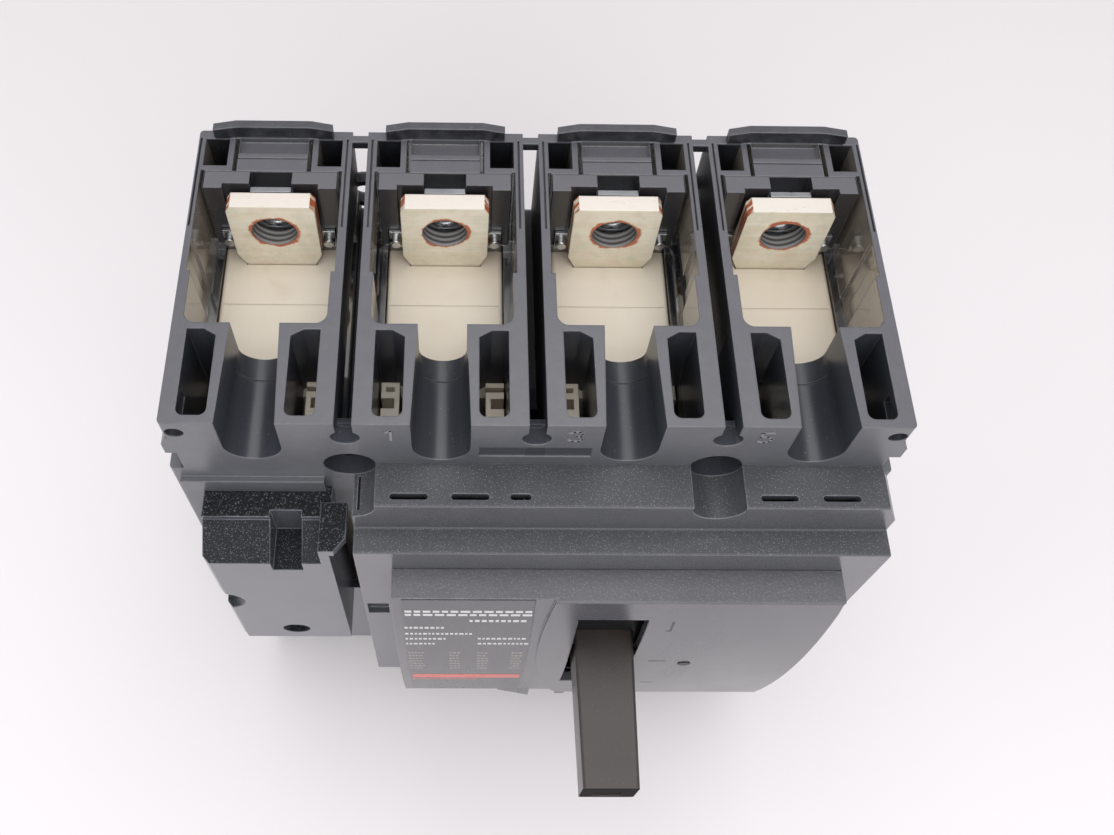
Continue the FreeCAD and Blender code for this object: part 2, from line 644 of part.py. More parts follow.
def toggle_shield():
    """Curved dust shield that closes the slot behind the toggle."""
    x0, x1 = TOGGLE_X - 8.3, TOGGLE_X + 8.3
    ring = rod_x(x0, x1, PIVOT_Y, PIVOT_Z, SHIELD_R + SHIELD_WALL).cut(
        rod_x(x0 - 1, x1 + 1, PIVOT_Y, PIVOT_Z, SHIELD_R)
    )
    reach, spread = 60.0, math.radians(47)
    wedge = prism_x(
        [(PIVOT_Y, PIVOT_Z), (PIVOT_Y - reach * math.cos(spread), PIVOT_Z + reach * math.sin(spread)),
         (PIVOT_Y - 2 * reach, PIVOT_Z),
         (PIVOT_Y - reach * math.cos(spread), PIVOT_Z - reach * math.sin(spread))],
        x0 - 1, x1 + 1,
    )
    window = box(TOGGLE_X - 6.55, TOGGLE_X + 6.55, -90, -80, 2.6, TOGGLE_TOP + 0.15)
    return ring.common(wedge).cut(window)


def toggle_yoke():
    """Steel fork that turns on the pivot pin and carries the handle on a tongue."""
    legs = []
    for side in (-1, 1):
        x0, x1 = sorted((TOGGLE_X + side * 8.2, TOGGLE_X + side * 6.8))
        leg = box(x0, x1, YOKE_FRONT, PIVOT_Y, PIVOT_Z - 4.0, PIVOT_Z + 4.0)
        eye = rod_x(x0, x1, PIVOT_Y, PIVOT_Z, 5.0)
        legs.append(join([leg, eye]))
    bridge = box(TOGGLE_X - 7.0, TOGGLE_X + 7.0, YOKE_FRONT, YOKE_FRONT + 1.6, PIVOT_Z - 4.0, PIVOT_Z + 4.0)
    tongue = box(TOGGLE_X - 2.5, TOGGLE_X + 2.5, YOKE_FRONT - 7.8, YOKE_FRONT + 0.5, 7.1, 9.9)
    bore = rod_x(TOGGLE_X - 20, TOGGLE_X + 20, PIVOT_Y, PIVOT_Z, PIVOT_PIN_R + RUNNING)
    return join(legs + [bridge, tongue]).cut(bore)


def side_plate(side):
    x0, x1 = sorted((TOGGLE_X + side * PLATE_X, TOGGLE_X + side * (PLATE_X + PLATE_THICKNESS)))
    outline = [
        (-49.95, -20.0), (-49.95, 34.0), (-58.0, 40.0), (-76.0, 40.0), (-76.0, -12.0), (-68.0, -20.0),
    ]
    plate = prism_x(outline, x0, x1)
    return plate.cut([rod_x(x0 - 1, x1 + 1, y, z, PIVOT_PIN_R + 0.02) for y, z in MECHANISM_PINS])


def mechanism_pins():
    reach = PLATE_X + PLATE_THICKNESS + 0.1
    return [rod_x(TOGGLE_X - reach, TOGGLE_X + reach, y, z, PIVOT_PIN_R) for y, z in MECHANISM_PINS]


def main_springs():
    """Two extension springs inside the fork."""
    springs = []
    for x in (TOGGLE_X - 3.4, TOGGLE_X + 3.4):
        helix = Part.makeHelix(1.6, 22.4, 2.2)
        profile = Part.Wire(Part.makeCircle(0.45, V(2.2, 0, 0), V(0, 1, 0)))
        coil = Part.Wire(helix).makePipeShell([profile], True, True)
        coil.rotate(V(0, 0, 0), V(1, 0, 0), 90)
        coil.translate(V(x, PIVOT_Y - 3.0, PIVOT_Z))
        springs.append(coil)
    return springs


def trip_button():
    stem = rod_y(BUTTON_X, BUTTON_Z, -88.9, -74.0, BUTTON_R)
    collar = rod_y(BUTTON_X, BUTTON_Z, -85.0, -82.9, BUTTON_R + 1.0)
    return join([stem, collar])


# ---------------------------------------------------------- trip unit

def trip_unit_case():
    block = rounded_box(TRIP_LEFT, TRIP_RIGHT, TRIP_FRONT, BASE_FRONT, TRIP_BOTTOM, TRIP_TOP, 0.8, "x")
    flange = box(COVER_LEFT, CASE_HALF_WIDTH - 0.1, TRIP_FLANGE, BASE_FRONT, -57.0, TRIP_TOP)
    outer = join([block, flange])
    inner = box(
        TRIP_LEFT + TRIP_WALL, TRIP_RIGHT - TRIP_WALL, TRIP_FRONT + 2.4, BASE_FRONT + 1,
        TRIP_BOTTOM + TRIP_WALL, TRIP_TOP - TRIP_WALL,
    )
    cuts = [inner]
    for x in DIALS.values():
        cuts.append(rod_y(x, DIAL_Z, -80, -70, DIAL_SHAFT_R + RUNNING))
        cuts.append(rod_y(x, DIAL_Z, -80, TRIP_FRONT + 1.2, DIAL_R + 0.6))
    for x in (-FIXING_X, FIXING_X):
        cuts.append(rod_y(x, -FIXING_Z, -80, -60, WELL_R))
    grooves = [box(x, x + 9.0, TRIP_FRONT - 1, TRIP_FRONT + 0.5, -56.5, -55.7) for x in (-20.0, 48.0)]
    return outer.cut(cuts + grooves)


def dial(x):
    knob = rod_y(x, DIAL_Z, TRIP_FRONT - 1.6, TRIP_FRONT + 1.15, DIAL_R)
    shaft = rod_y(x, DIAL_Z, TRIP_FRONT + 1.0, -69.0, DIAL_SHAFT_R)
    slot = box(x - 3.6, x + 3.6, TRIP_FRONT - 2, TRIP_FRONT - 0.6, DIAL_Z - 0.6, DIAL_Z + 0.6)
    return join([knob, shaft]).cut(slot)


def trip_bar():
    bar = rod_x(-32.5, 65.5, TRIP_BAR_Y, TRIP_BAR_Z, TRIP_BAR_R)
    y0, y1 = TRIP_BAR_Y - 0.8, TRIP_BAR_Y + 0.8
    paddles = [box(px - 4, px + 4, y0, y1, TRIP_BAR_Z, -40.6) for px in list(POLES.values())[1:]]
    return join([bar] + paddles)


def trip_bar_bearings():
    bearings = []
    for x in (-33.0, 63.4):
        block = box(x, x + 2.6, -65.5, -57.0, -53.0, -41.5)
        bearings.append(block.cut(rod_x(x - 1, x + 4, TRIP_BAR_Y, TRIP_BAR_Z, TRIP_BAR_R + RUNNING)))
    return bearings


def bimetal(px):
    strip = box(px - 3.5, px + 3.5, -53.2, -52.0, -56.5, -40.0)
    foot = box(px - 3.5, px + 3.5, -52.0, CASSETTE_FRONT, -56.5, -53.5)
    return join([strip, foot])


def case_screws():
    """Cross-recessed screws that hold the middle cover."""
    screws = []
    recess, half_width, half_length = -1.7, 0.5, 2.6
    for x, z in SCREW_PLACES:
        shank = rod_y(x, z, -72.0, SCREW_SEAT, SCREW_R)
        head = rod_y(x, z, SCREW_SEAT, -0.6, SCREW_HEAD_R)
        drive = box(x - half_length, x + half_length, recess, 0, z - half_width, z + half_width)
        cross = box(x - half_width, x + half_width, recess, 0, z - half_length, z + half_length)
        screws.append(join([shank, head]).cut([drive, cross]))
    return screws


def build():
    os.makedirs("parts", exist_ok=True)
    save("base_case", base_case())
    save("middle_cover", middle_cover())
    save("neutral_cover", neutral_cover())
    save("neutral_lower_cover", neutral_lower_cover())
    save("front_cover", front_cover())
    save("rating_plate", rating_plate())
    for name, px in POLES.items():
        save("pole_cassette_" + name, cassette(px, LUG_SIDES[name]))
        save("line_terminal_" + name, line_terminal(px))
        save("load_terminal_" + name, load_terminal(px))
        save("line_nut_carrier_" + name, nut_carrier(px))
        save("load_nut_carrier_" + name, flip_z(nut_carrier(px)))
        save("rotor_" + name, rotor(px))
        save("moving_contact_" + name, moving_contact(px))
        save("arc_plates_" + name, arc_plates(px))
    centres = list(POLES.values())
    save("link_rods", link_rods())
    save("contact_tips", [tip for px in centres for tip in contact_tips(px)])
    nuts = [captive_nut(px) for px in centres]
    save("captive_nuts", nuts + [flip_z(nut) for nut in nuts])
    clips = [clamp_clip(px) for px in centres]
    save("clamp_clips", clips + [flip_z(clip) for clip in clips])
    pins = [pin for px in centres for pin in clamp_pins(px)]
    save("clamp_pins", pins + [flip_z(pin) for pin in pins])
    save("toggle", toggle())
    save("toggle_shield", toggle_shield())
    save("toggle_yoke", toggle_yoke())
    save("side_plate_left", side_plate(-1))
    save("side_plate_right", side_plate(1))
    save("mechanism_pins", mechanism_pins())
    save("main_springs", main_springs())
    save("trip_button", trip_button())
    save("trip_unit_case", trip_unit_case())
    for name, x in DIALS.items():
        save(name, dial(x))
    save("trip_bar", trip_bar())
    save("trip_bar_bearings", trip_bar_bearings())
    save("bimetals", [bimetal(px) for px in centres])
    save("case_screws", case_screws())


build()
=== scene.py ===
import math
import random

import bpy
from mathutils import Matrix, Vector


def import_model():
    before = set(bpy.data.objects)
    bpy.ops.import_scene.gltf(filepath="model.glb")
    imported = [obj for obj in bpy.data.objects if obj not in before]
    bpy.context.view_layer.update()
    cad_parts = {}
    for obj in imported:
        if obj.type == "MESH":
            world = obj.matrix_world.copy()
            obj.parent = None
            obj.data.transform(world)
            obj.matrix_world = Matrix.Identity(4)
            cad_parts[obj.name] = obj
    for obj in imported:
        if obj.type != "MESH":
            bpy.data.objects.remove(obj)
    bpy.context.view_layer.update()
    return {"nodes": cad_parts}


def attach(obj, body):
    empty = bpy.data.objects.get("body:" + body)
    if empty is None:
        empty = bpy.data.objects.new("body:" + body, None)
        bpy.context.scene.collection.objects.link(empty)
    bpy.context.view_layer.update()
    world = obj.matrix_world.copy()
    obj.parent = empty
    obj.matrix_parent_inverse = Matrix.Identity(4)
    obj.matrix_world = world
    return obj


MM = 0.001
POLES = {"n": -52.5, "1": -17.5, "3": 17.5, "5": 52.5}
HALF_PITCH = 17.5
THREAD_PITCH = 1.25
FLOOR_Z = -80.5
TERMINAL_Z = 70.3

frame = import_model()


# ---------------------------------------------------------------- shader helpers

class Graph:
    """Small helper around one material's node tree."""

    def __init__(self, name):
        self.material = bpy.data.materials.new(name)
        self.material.use_nodes = True
        self.tree = self.material.node_tree
        self.tree.nodes.clear()
        self.output = self.add("ShaderNodeOutputMaterial")
        self.surface = self.add("ShaderNodeBsdfPrincipled")
        self.link(self.surface.outputs["BSDF"], self.output.inputs["Surface"])
        self.coords = self.add("ShaderNodeTexCoord").outputs["Object"]

    def add(self, kind, **values):
        node = self.tree.nodes.new(kind)
        for key, value in values.items():
            setattr(node, key, value)
        return node

    def link(self, source, target):
        self.tree.links.new(source, target)

    def put(self, socket, value):
        """Links an output socket, or sets a plain value."""
        if isinstance(value, bpy.types.NodeSocket):
            self.link(value, socket)
        else:
            socket.default_value = value

    def math(self, operation, a, b=0.0, clamp=False):
        node = self.add("ShaderNodeMath", operation=operation, use_clamp=clamp)
        self.put(node.inputs[0], a)
        self.put(node.inputs[1], b)
        return node.outputs[0]

    def ramp(self, value, low, high, out_low=0.0, out_high=1.0):
        node = self.add("ShaderNodeMapRange", clamp=True)
        for socket, given in zip(node.inputs, (value, low, high, out_low, out_high)):
            self.put(socket, given)
        return node.outputs[0]

    def mix(self, factor, a, b):
        node = self.add("ShaderNodeMix", data_type="RGBA")
        self.put(node.inputs[0], factor)
        self.put(node.inputs[6], a)
        self.put(node.inputs[7], b)
        return node.outputs[2]

    def noise(self, scale, detail=2.0, rough=0.5, stretch=(1, 1, 1), offset=(0, 0, 0)):
        place = self.add("ShaderNodeMapping")
        place.inputs["Scale"].default_value = stretch
        place.inputs["Location"].default_value = offset
        self.link(self.coords, place.inputs["Vector"])
        node = self.add("ShaderNodeTexNoise")
        self.link(place.outputs[0], node.inputs["Vector"])
        node.inputs["Scale"].default_value = scale
        node.inputs["Detail"].default_value = detail
        node.inputs["Roughness"].default_value = rough
        return node.outputs["Fac"]

    def axes(self, source=None):
        node = self.add("ShaderNodeSeparateXYZ")
        self.link(source or self.coords, node.inputs[0])
        return node.outputs

    def from_gap(self, x):
        """Distance from the nearest gap between two poles."""
        shifted = self.math("ADD", x, 4 * HALF_PITCH * MM)
        return self.math("PINGPONG", shifted, HALF_PITCH * MM)

    def facing(self, axis):
        """How far the true surface faces along +axis (0 to 1), or -axis for a leading minus."""
        geometry = self.add("ShaderNodeNewGeometry")
        part = self.axes(geometry.outputs["True Normal"])["XYZ".index(axis[-1])]
        return self.math("MULTIPLY", part, -1.0 if axis[0] == "-" else 1.0, clamp=True)

    def rounded_edges(self, radius):
        """(normal of slightly rounded edges, how close the point is to an edge)"""
        bevel = self.add("ShaderNodeBevel", samples=4)
        bevel.inputs["Radius"].default_value = radius
        geometry = self.add("ShaderNodeNewGeometry")
        dot = self.add("ShaderNodeVectorMath", operation="DOT_PRODUCT")
        self.link(bevel.outputs[0], dot.inputs[0])
        self.link(geometry.outputs["Normal"], dot.inputs[1])
        return bevel.outputs[0], self.ramp(dot.outputs["Value"], 0.98, 0.80)

    def bump(self, height, strength, distance, normal=None):
        node = self.add("ShaderNodeBump")
        node.inputs["Strength"].default_value = strength
        node.inputs["Distance"].default_value = distance
        self.put(node.inputs["Height"], height)
        if normal is not None:
            self.link(normal, node.inputs["Normal"])
        return node.outputs[0]

    def finish(self, colour, rough, normal=None, metal=0.0, specular=0.5, ior=1.5):
        self.put(self.surface.inputs["Base Color"], colour)
        self.put(self.surface.inputs["Roughness"], rough)
        self.put(self.surface.inputs["Metallic"], metal)
        self.put(self.surface.inputs["Specular IOR Level"], specular)
        self.put(self.surface.inputs["IOR"], ior)
        if normal is not None:
            self.link(normal, self.surface.inputs["Normal"])
        return self.material


def rgb(r, g, b):
    """An sRGB colour, 0 to 255, as linear RGBA."""
    def linear(v):
        v /= 255.0
        return v / 12.92 if v <= 0.04045 else ((v + 0.055) / 1.055) ** 2.4
    return (linear(r), linear(g), linear(b), 1.0)


# ---------------------------------------------------------------- materials

def brighter(colour, factor, lift=0.0):
    """The colour scaled and lifted, with full alpha."""
    return tuple(min(1.0, factor * c + lift) for c in colour[:3]) + (1.0,)


def thermoset(
    name, dark, light, grain=0.5, smooth_rough=0.3, top_rough=0.5, edge=0.0004, specular=0.7,
    rim=None, shade=0.0,
):
    """Glass-filled moulding: grainy where it faces up, smoother and glossier on upright faces.

    rim is (height, colour) for faces that look up above that height; shade is painted shade that darkens
    faces that look up.
    """
    g = Graph(name)
    up = g.facing("+Z")
    broad = g.noise(35.0, 3.0, 0.55)
    fine = g.noise(1400.0, 2.0, 0.6)
    medium = g.noise(420.0, 3.0, 0.6)
    specks = g.ramp(g.noise(3400.0, 2.0, 0.6, offset=(3, 1, 7)), 0.58, 0.70)
    colour = g.mix(g.ramp(broad, 0.1, 0.9), dark, light)
    colour = g.mix(g.math("MULTIPLY", g.ramp(medium, 0.4, 0.7), 0.35), colour, light)
    if rim is not None:
        height = g.math("ABSOLUTE", g.axes()[2])
        on_rim = g.math("MULTIPLY", g.ramp(height, rim[0] - 0.0002, rim[0]), g.ramp(up, 0.6, 0.9))
        colour = g.mix(on_rim, colour, rim[1])
    # Painted shade: faces that look up are darkened towards near black by the shade amount.
    colour = g.mix(g.math("MULTIPLY", g.ramp(up, 0.3, 0.9), shade), colour, rgb(8, 9, 13))
    pale = brighter(light, 3.4, 0.05)
    colour = g.mix(g.math("MULTIPLY", specks, g.ramp(up, 0.3, 0.9, 0.04, 0.42)), colour, pale)
    normal, near_edge = g.rounded_edges(edge)
    # Lighter edges: partly wear, partly a painted highlight on the rounded edges.
    worn = g.math("MULTIPLY", near_edge, g.ramp(g.noise(160.0, 3.0), 0.35, 0.7, 0.35, 0.9))
    colour = g.mix(worn, colour, pale)
    height = g.math("ADD", g.math("MULTIPLY", fine, 0.6), g.math("MULTIPLY", medium, 0.4))
    strength = g.ramp(up, 0.2, 0.9, 0.06 * grain, grain)
    bump = g.add("ShaderNodeBump")
    bump.inputs["Distance"].default_value = 0.00012
    g.put(bump.inputs["Strength"], strength)
    g.put(bump.inputs["Height"], height)
    g.link(normal, bump.inputs["Normal"])
    streaks = g.ramp(g.noise(60.0, 4.0, 0.6, stretch=(1, 1, 0.3)), 0.3, 0.7, -0.04, 0.05)
    rough = g.math("ADD", g.ramp(up, 0.2, 0.9, smooth_rough, top_rough), streaks)
    shine = g.ramp(up, 0.3, 0.8, specular, specular * (1.0 - shade))
    return g.finish(colour, rough, bump.outputs[0], specular=shine, ior=1.55)


def base_material():
    """Case moulding: matt grain outside, glossy black in the bays, satin in the screwdriver channels, with
    painted shade on the rear lip's faces and a painted ivory reflection on the bay walls.
    """
    g = Graph("case_thermoset")
    up = g.facing("+Z")
    x, y, z = g.axes()[0], g.axes()[1], g.axes()[2]
    height = g.math("ABSOLUTE", z)
    broad = g.noise(35.0, 3.0, 0.55)
    fine = g.noise(1300.0, 2.0, 0.6)
    medium = g.noise(380.0, 3.0, 0.6)
    dark, light = rgb(72, 74, 80), rgb(98, 99, 104)
    colour = g.mix(g.ramp(broad, 0.1, 0.9), dark, light)
    on_rim = g.math("MULTIPLY", g.ramp(height, 0.0784, 0.0789), g.ramp(up, 0.6, 0.9))
    lip_top = g.ramp(height, 0.0806, 0.0808)
    colour = g.mix(on_rim, colour, g.mix(lip_top, rgb(84, 84, 91), rgb(60, 60, 66)))
    # Painted shade: the lip's faces that don't look up are painted near black, standing in for the shadow on
    # its front.
    lip_painted_shade = g.math("MULTIPLY", g.ramp(height, 0.0806, 0.0808), g.ramp(up, 0.9, 0.6))
    colour = g.mix(lip_painted_shade, colour, rgb(30, 31, 35))
    colour = g.mix(g.math("MULTIPLY", g.ramp(medium, 0.4, 0.7), 0.25), colour, light)
    inside = g.math("MULTIPLY", g.ramp(height, 0.0802, 0.0800), g.ramp(y, -0.0659, -0.0657))
    inside = g.math("MULTIPLY", inside, g.ramp(y, -0.0003, -0.0006))
    inside = g.math("MULTIPLY", inside, g.ramp(g.math("ABSOLUTE", x), 0.0677, 0.0675))
    inside = g.math("MULTIPLY", inside, g.math("SUBTRACT", 1.0, on_rim))
    in_gap = g.math("MULTIPLY", g.ramp(g.from_gap(x), 0.0020, 0.0018), inside)
    channel = g.math("MULTIPLY", g.ramp(y, -0.0450, -0.0456), inside)
    colour = g.mix(g.math("MULTIPLY", inside, 0.9), colour, rgb(19, 20, 25))
    colour = g.mix(g.math("MULTIPLY", channel, 0.9), colour, rgb(60, 62, 69))
    from_side = g.math("MAXIMUM", g.facing("+X"), g.facing("-X"))
    behind = g.math("SUBTRACT", inside, channel, clamp=True)
    bay_wall = g.math("MULTIPLY", g.ramp(from_side, 0.6, 0.9), behind)
    bay_wall = g.math("MULTIPLY", bay_wall, g.math("SUBTRACT", 1.0, in_gap))
    bay_wall = g.math("MULTIPLY", bay_wall, g.ramp(y, -0.0460, -0.0450))
    # Painted reflection: the side walls of the bays are painted a warm light grey for the ivory reflected in
    # them.
    painted_ivory_reflection = g.math("MULTIPLY", bay_wall, g.ramp(broad, 0.3, 0.7, 0.5, 0.9))
    colour = g.mix(painted_ivory_reflection, colour, rgb(142, 134, 124))
    specks = g.ramp(g.noise(2100.0, 1.0, 0.5, offset=(3, 1, 7)), 0.72, 0.77)
    colour = g.mix(g.math("MULTIPLY", specks, 0.30), colour, rgb(150, 150, 155))
    normal, near_edge = g.rounded_edges(0.00038)
    # Lighter edges: partly wear, partly a painted highlight on the rounded edges.
    worn = g.math("MULTIPLY", near_edge, g.ramp(g.noise(160.0, 3.0), 0.35, 0.7, 0.15, 0.55))
    colour = g.mix(worn, colour, rgb(160, 160, 165))
    relief = g.math("ADD", g.math("MULTIPLY", fine, 0.6), g.math("MULTIPLY", medium, 0.4))
    outside = g.math("SUBTRACT", 1.0, inside)
    bump = g.add("ShaderNodeBump")
    bump.inputs["Distance"].default_value = 0.0001
    g.put(bump.inputs["Strength"], g.ramp(outside, 0.0, 1.0, 0.03, 0.40))
    g.put(bump.inputs["Height"], relief)
    g.link(normal, bump.inputs["Normal"])
    rough = g.math("ADD", g.ramp(outside, 0.0, 1.0, 0.10, 0.36), g.math("MULTIPLY", channel, 0.20))
    rough = g.math("ADD", rough, g.math("MULTIPLY", in_gap, 0.45))
    rough = g.math("ADD", rough, g.ramp(broad, 0.3, 0.7, -0.03, 0.04))
    shine = g.math("SUBTRACT", g.ramp(outside, 0.0, 1.0, 0.95, 0.75), g.math("MULTIPLY", channel, 0.45))
    shine = g.math("SUBTRACT", shine, g.math("MULTIPLY", in_gap, 0.40), clamp=True)
    in_bay = g.math("SUBTRACT", behind, in_gap, clamp=True)
    index = g.ramp(in_bay, 0.0, 1.0, 1.55, 2.1)
    return g.finish(colour, rough, bump.outputs[0], specular=shine, ior=index)


def ivory_material():
    """Satin ivory moulding, with painted shade at the back of the bay."""
    g = Graph("ivory_moulding")
    y = g.axes()[1]
    broad = g.noise(40.0, 3.0, 0.5)
    fine = g.noise(700.0, 2.0, 0.5)
    colour = g.mix(g.ramp(broad, 0.35, 0.65), rgb(238, 226, 207), rgb(246, 237, 221))
    blotch = g.ramp(g.noise(140.0, 4.0, 0.6, offset=(5, 2, 1)), 0.55, 0.8, 0.0, 0.35)
    colour = g.mix(blotch, colour, rgb(214, 200, 176))
    # Painted shade: the ivory darkens to brown towards the back of the bay.
    painted_shade_at_back = g.ramp(y, -0.022, -0.016, 0.0, 0.30)
    colour = g.mix(painted_shade_at_back, colour, rgb(160, 140, 108))
    normal, near_edge = g.rounded_edges(0.0003)
    # Painted highlight: edges are lightened.
    colour = g.mix(g.math("MULTIPLY", near_edge, 0.3), colour, rgb(240, 234, 222))
    bump = g.bump(g.math("ADD", fine, g.math("MULTIPLY", broad, 2.0)), 0.12, 0.00012, normal)
    return g.finish(colour, g.ramp(broad, 0.3, 0.7, 0.32, 0.46), bump, specular=0.45)


def terminal_material():
    """Tin plating with bare copper where the bar was cut: hole rim, corners and back edges."""
    g = Graph("tinned_copper")
    x, y, z = g.axes()[0], g.axes()[1], g.axes()[2]
    height = g.math("SUBTRACT", g.math("ABSOLUTE", z), TERMINAL_Z * MM)
    side = g.math("SUBTRACT", g.from_gap(x), HALF_PITCH * MM)
    squares = g.math("ADD", g.math("MULTIPLY", side, side), g.math("MULTIPLY", height, height))
    radius = g.math("SQRT", squares)
    wobble = g.ramp(g.noise(260.0, 3.0, 0.6), 0.3, 0.7, -0.0006, 0.0006)
    brushed = g.noise(240.0, 3.0, 0.6, stretch=(0.25, 1, 3.0))
    blotch = g.noise(120.0, 4.0, 0.6)
    colour = g.mix(g.ramp(brushed, 0.3, 0.7), rgb(240, 230, 206), rgb(250, 243, 226))
    colour = g.mix(g.ramp(blotch, 0.5, 0.75, 0.0, 0.40), colour, rgb(206, 192, 158))
    tarnish = g.ramp(g.noise(420.0, 3.0, 0.6, offset=(7, 3, 2)), 0.50, 0.72, 0.0, 0.30)
    colour = g.mix(tarnish, colour, rgb(196, 206, 176))
    flush = g.ramp(g.noise(360.0, 3.0, 0.6, offset=(1, 8, 5)), 0.55, 0.75, 0.0, 0.30)
    colour = g.mix(flush, colour, rgb(236, 196, 176))
    hole = g.ramp(g.math("ADD", radius, wobble), 0.0054, 0.0050)
    turn = g.math("DIVIDE", g.math("ARCTAN2", height, side), 2.0 * math.pi)
    thread = g.math("PINGPONG", g.math("ADD", g.math("DIVIDE", y, THREAD_PITCH * MM), turn), 0.5)
    bore = g.ramp(radius, 0.00470, 0.00465)
    front = g.facing("-Y")
    sides = g.math("SUBTRACT", 1.0, g.ramp(front, 0.3, 0.6))
    top = g.ramp(g.facing("+Z"), 0.9, 0.98)
    side_copper = g.math("MULTIPLY", sides, g.math("SUBTRACT", 1.0, top))
    stripes = g.noise(500.0, 2.0, 0.5, stretch=(1.0, 2.4, 0.12))
    side_copper = g.math("MULTIPLY", side_copper, g.ramp(stripes, 0.44, 0.56, 0.0, 1.0))
    copper = g.math("MAXIMUM", hole, side_copper)
    normal, near_edge = g.rounded_edges(0.0003)
    # Painted highlight: edges are lightened towards white.
    colour = g.mix(g.math("MULTIPLY", near_edge, 0.35), colour, rgb(246, 240, 230))
    colour = g.mix(g.math("MULTIPLY", top, 0.8), colour, rgb(222, 214, 208))
    colour = g.mix(copper, colour, rgb(190, 104, 68))
    # Painted shade and highlight: the bore gets a helix of dark grooves and bright crests for the thread's
    # relief.
    colour = g.mix(bore, colour, g.mix(g.ramp(thread, 0.1, 0.4), rgb(92, 90, 90), rgb(176, 174, 172)))
    rough = g.math("ADD", g.ramp(brushed, 0.3, 0.7, 0.34, 0.48), g.math("MULTIPLY", top, -0.1))
    bump = g.bump(brushed, 0.12, 0.0001, normal)
    return g.finish(colour, rough, bump, metal=0.12)


def metal_material(name, colour_a, colour_b, rough_a, rough_b, metal=1.0, scale=300.0, edge=0.0002):
    g = Graph(name)
    fine = g.noise(scale, 3.0, 0.6, stretch=(1, 1, 0.4))
    broad = g.noise(60.0, 3.0, 0.6)
    colour = g.mix(g.ramp(broad, 0.3, 0.7), colour_a, colour_b)
    stain = g.ramp(g.noise(170.0, 4.0, 0.65, offset=(2, 9, 4)), 0.58, 0.8, 0.0, 0.4)
    colour = g.mix(stain, colour, brighter(colour_a, 0.45))
    normal, near_edge = g.rounded_edges(edge)
    # Painted highlight: edges are lightened.
    colour = g.mix(g.math("MULTIPLY", near_edge, 0.4), colour, brighter(colour_b, 1.25))
    bump = g.bump(fine, 0.15, 0.00008, normal)
    return g.finish(colour, g.ramp(fine, 0.3, 0.7, rough_a, rough_b), bump, metal=metal)


def toggle_material():
    g = Graph("toggle_moulding")
    broad = g.noise(50.0, 3.0, 0.55)
    fine = g.noise(1700.0, 2.0, 0.6)
    up = g.facing("+Z")
    colour = g.mix(g.ramp(broad, 0.35, 0.65), rgb(44, 37, 34), rgb(56, 48, 44))
    specks = g.ramp(g.noise(2600.0, 1.0, 0.5), 0.70, 0.76)
    colour = g.mix(g.math("MULTIPLY", specks, 0.25), colour, rgb(120, 112, 106))
    normal, near_edge = g.rounded_edges(0.0003)
    # Painted highlight: edges are lightened.
    colour = g.mix(g.math("MULTIPLY", near_edge, 0.35), colour, rgb(96, 90, 86))
    # Painted shade: the end face is painted near black and made matt, standing in for the shade of its
    # recess.
    tip = g.math("MULTIPLY", g.facing("-Y"), g.ramp(g.axes()[1], -0.110, -0.112))
    colour = g.mix(tip, colour, rgb(22, 18, 18))
    bump = g.bump(fine, 0.22, 0.0001, normal)
    rough = g.math("ADD", g.ramp(up, 0.2, 0.9, 0.28, 0.40), g.ramp(broad, 0.3, 0.7, -0.04, 0.05))
    rough = g.math("ADD", rough, g.math("MULTIPLY", tip, 0.4))
    return g.finish(colour, rough, bump, specular=g.ramp(tip, 0.0, 1.0, 0.65, 0.05))


def ink_material(name, colour):
    g = Graph(name)
    worn = g.ramp(g.noise(900.0, 3.0, 0.6), 0.55, 0.75, 0.0, 0.3)
    shade = g.mix(worn, colour, brighter(colour, 0.55))
    return g.finish(shade, g.ramp(g.noise(200.0), 0.3, 0.7, 0.4, 0.55), specular=0.5)


MATERIALS = {
    "case": base_material(),
    "cover": thermoset(
        "cover_thermoset", rgb(72, 73, 78), rgb(88, 89, 94), grain=0.55, smooth_rough=0.22,
        specular=0.9, shade=0.42,
    ),
    "neutral": thermoset(
        "neutral_thermoset", rgb(68, 70, 76), rgb(86, 88, 94), grain=1.0, smooth_rough=0.2,
        specular=1.0, shade=0.88,
    ),
    "face": thermoset(
        "face_plastic", rgb(62, 62, 67), rgb(80, 80, 85), grain=0.85, smooth_rough=0.24, specular=0.9,
    ),
    "film": thermoset(
        "rating_film", rgb(52, 53, 57), rgb(60, 61, 65), grain=0.15, smooth_rough=0.27, specular=0.9,
    ),
    "ivory": ivory_material(),
    "terminal": terminal_material(),
    "carrier": thermoset(
        "carrier_plastic", rgb(30, 30, 33), rgb(42, 42, 46), grain=0.3, smooth_rough=0.30,
        rim=(0.0803, rgb(90, 90, 96)),
    ),
    "rotor": thermoset("rotor_plastic", rgb(82, 56, 40), rgb(104, 74, 54), grain=0.3),
    "toggle": toggle_material(),
    # Painted shade: the shield is near black with little specular and darkened tops, standing in for the
    # shade deep in the handle slot.
    "shield": thermoset(
        "shield_plastic", rgb(16, 16, 18), rgb(24, 24, 26), grain=0.2, specular=0.15, shade=0.5,
    ),
    "dial": thermoset("dial_plastic", rgb(120, 122, 124), rgb(140, 142, 145), grain=0.3),
    "copper": metal_material("bare_copper", rgb(184, 110, 76), rgb(205, 132, 96), 0.28, 0.45),
    "silver": metal_material("silver_contact", rgb(200, 200, 198), rgb(220, 220, 218), 0.25, 0.4),
    "zinc": metal_material("bright_zinc", rgb(176, 178, 180), rgb(206, 208, 208), 0.18, 0.36),
    "steel": metal_material("plated_steel", rgb(146, 148, 152), rgb(172, 174, 176), 0.26, 0.44),
    "bimetal": metal_material("bimetal", rgb(160, 140, 110), rgb(184, 164, 130), 0.3, 0.45),
}

